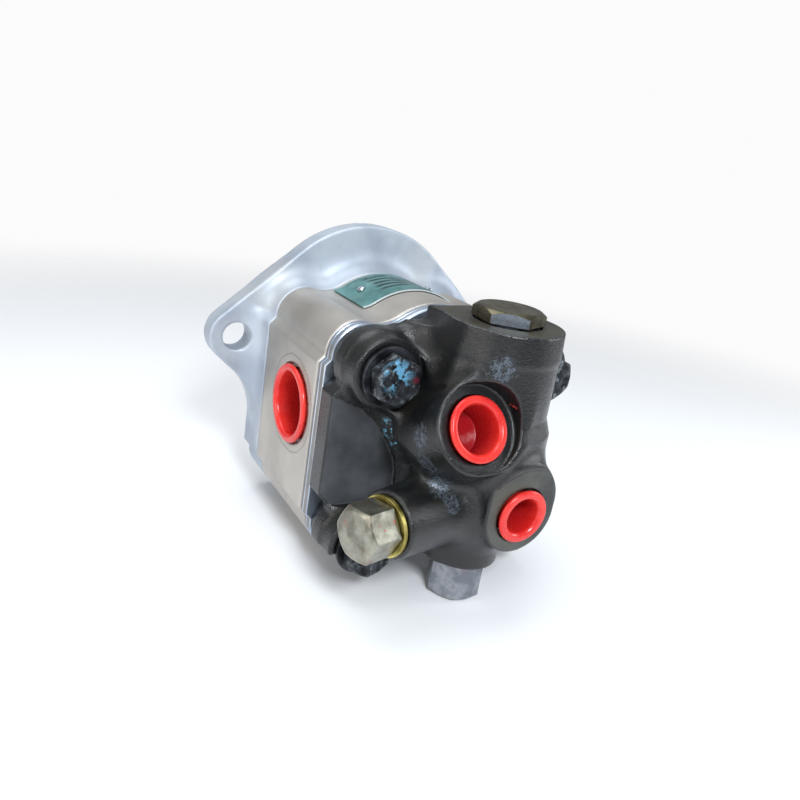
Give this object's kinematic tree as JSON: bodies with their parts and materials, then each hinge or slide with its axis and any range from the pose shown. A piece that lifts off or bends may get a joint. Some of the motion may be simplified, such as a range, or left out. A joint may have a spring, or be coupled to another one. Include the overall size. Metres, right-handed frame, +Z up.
{
  "type": "hydraulic gear pump",
  "caption": "Steering gear pump with a two-bolt flange, keyed shaft, aluminium body and a black valve block with capped ports.",
  "frame": {"origin": "under the middle of the pump's box, on the lowest line of its body", "axes": "+Y out along the drive shaft, +Z up, +X to the right seen from the valve block"},
  "size_m": [0.1274, 0.148, 0.1124],
  "materials": {
    "cast_aluminium": "cast, satin",
    "body_aluminium": "extruded, satin",
    "bright_aluminium": "machined",
    "black_iron": "black semi-gloss paint",
    "steel": "machined",
    "black_steel": "black oxide",
    "bronze": "sliding bearing metal",
    "rubber": "black nitrile",
    "red_plastic": "moulded, semi-matte",
    "teal_foil": "printed foil",
    "yellow_zinc": "yellow zinc"
  },
  "bodies": {
    "housing": {"mounting_flange": "cast_aluminium", "pump_body": "body_aluminium", "seal_plate": "bright_aluminium", "valve_block": "black_iron", "front_bearing_block": "bronze", "rear_bearing_block": "bronze", "front_drive_bush": "bronze", "front_idler_bush": "bronze", "rear_drive_bush": "bronze", "rear_idler_bush": "bronze", "shaft_seal": "rubber", "seal_circlip": "steel", "front_body_seal": "rubber", "rear_body_seal": "rubber", "dowel_pin_1": "steel", "dowel_pin_2": "steel", "dowel_pin_3": "steel", "dowel_pin_4": "steel", "through_bolt_1": "black_steel", "through_bolt_2": "black_steel", "through_bolt_3": "black_steel", "through_bolt_4": "black_steel", "bolt_washer_1": "black_steel", "bolt_washer_2": "black_steel", "bolt_washer_3": "black_steel", "bolt_washer_4": "black_steel", "nameplate": "teal_foil", "nameplate_rivet_1": "steel", "nameplate_rivet_2": "steel", "top_plug": "black_steel", "top_plug_seal": "rubber", "left_plug": "steel", "left_plug_washer": "yellow_zinc", "relief_cap": "steel", "relief_cap_seal": "rubber", "spool_spring": "steel", "relief_seat": "steel", "relief_spring": "steel"},
    "drive_shaft": {"drive_gear_shaft": "steel", "shaft_key": "steel"},
    "idler": {"idler_gear": "steel"},
    "spool": {"flow_spool": "steel"},
    "poppet": {"relief_poppet": "steel"},
    "suction_cap": {"suction_port_cap": "red_plastic"},
    "upper_cap": {"upper_port_cap": "red_plastic"},
    "lower_cap": {"lower_port_cap": "red_plastic"}
  },
  "joints": [
    {"name": "shaft_spin", "type": "hinge", "parent": "housing", "child": "drive_shaft", "pos_m": [0, 0.00298, 0.0668], "axis": [0, 1, 0], "continuous": true},
    {"name": "idler_spin", "type": "hinge", "parent": "housing", "child": "idler", "pos_m": [0, 0.00298, 0.0288], "axis": [0, 1, 0], "continuous": true},
    {"name": "spool_slide", "type": "slide", "parent": "housing", "child": "spool", "axis": [0, 0, -1], "range_m": [0, 0.006], "stiffness_N_per_m": 1500, "springref_m": -0.006, "deforming": ["spool_spring"]},
    {"name": "poppet_slide", "type": "slide", "parent": "housing", "child": "poppet", "axis": [0, 0, -1], "range_m": [0, 0.0015], "stiffness_N_per_m": 3000, "springref_m": -0.003, "deforming": ["relief_spring"]},
    {"name": "suction_cap_pull", "type": "slide", "parent": "housing", "child": "suction_cap", "axis": [-1, 0, 0], "range_m": [0, 0.016]},
    {"name": "upper_cap_pull", "type": "slide", "parent": "housing", "child": "upper_cap", "axis": [0, -0.8746, 0.4848], "range_m": [0, 0.014]},
    {"name": "lower_cap_pull", "type": "slide", "parent": "housing", "child": "lower_cap", "axis": [0, -1, 0], "range_m": [0, 0.014]}
  ],
  "couplings": [
    {"joint": "idler_spin", "follows": "shaft_spin", "ratio": -1}
  ]
}
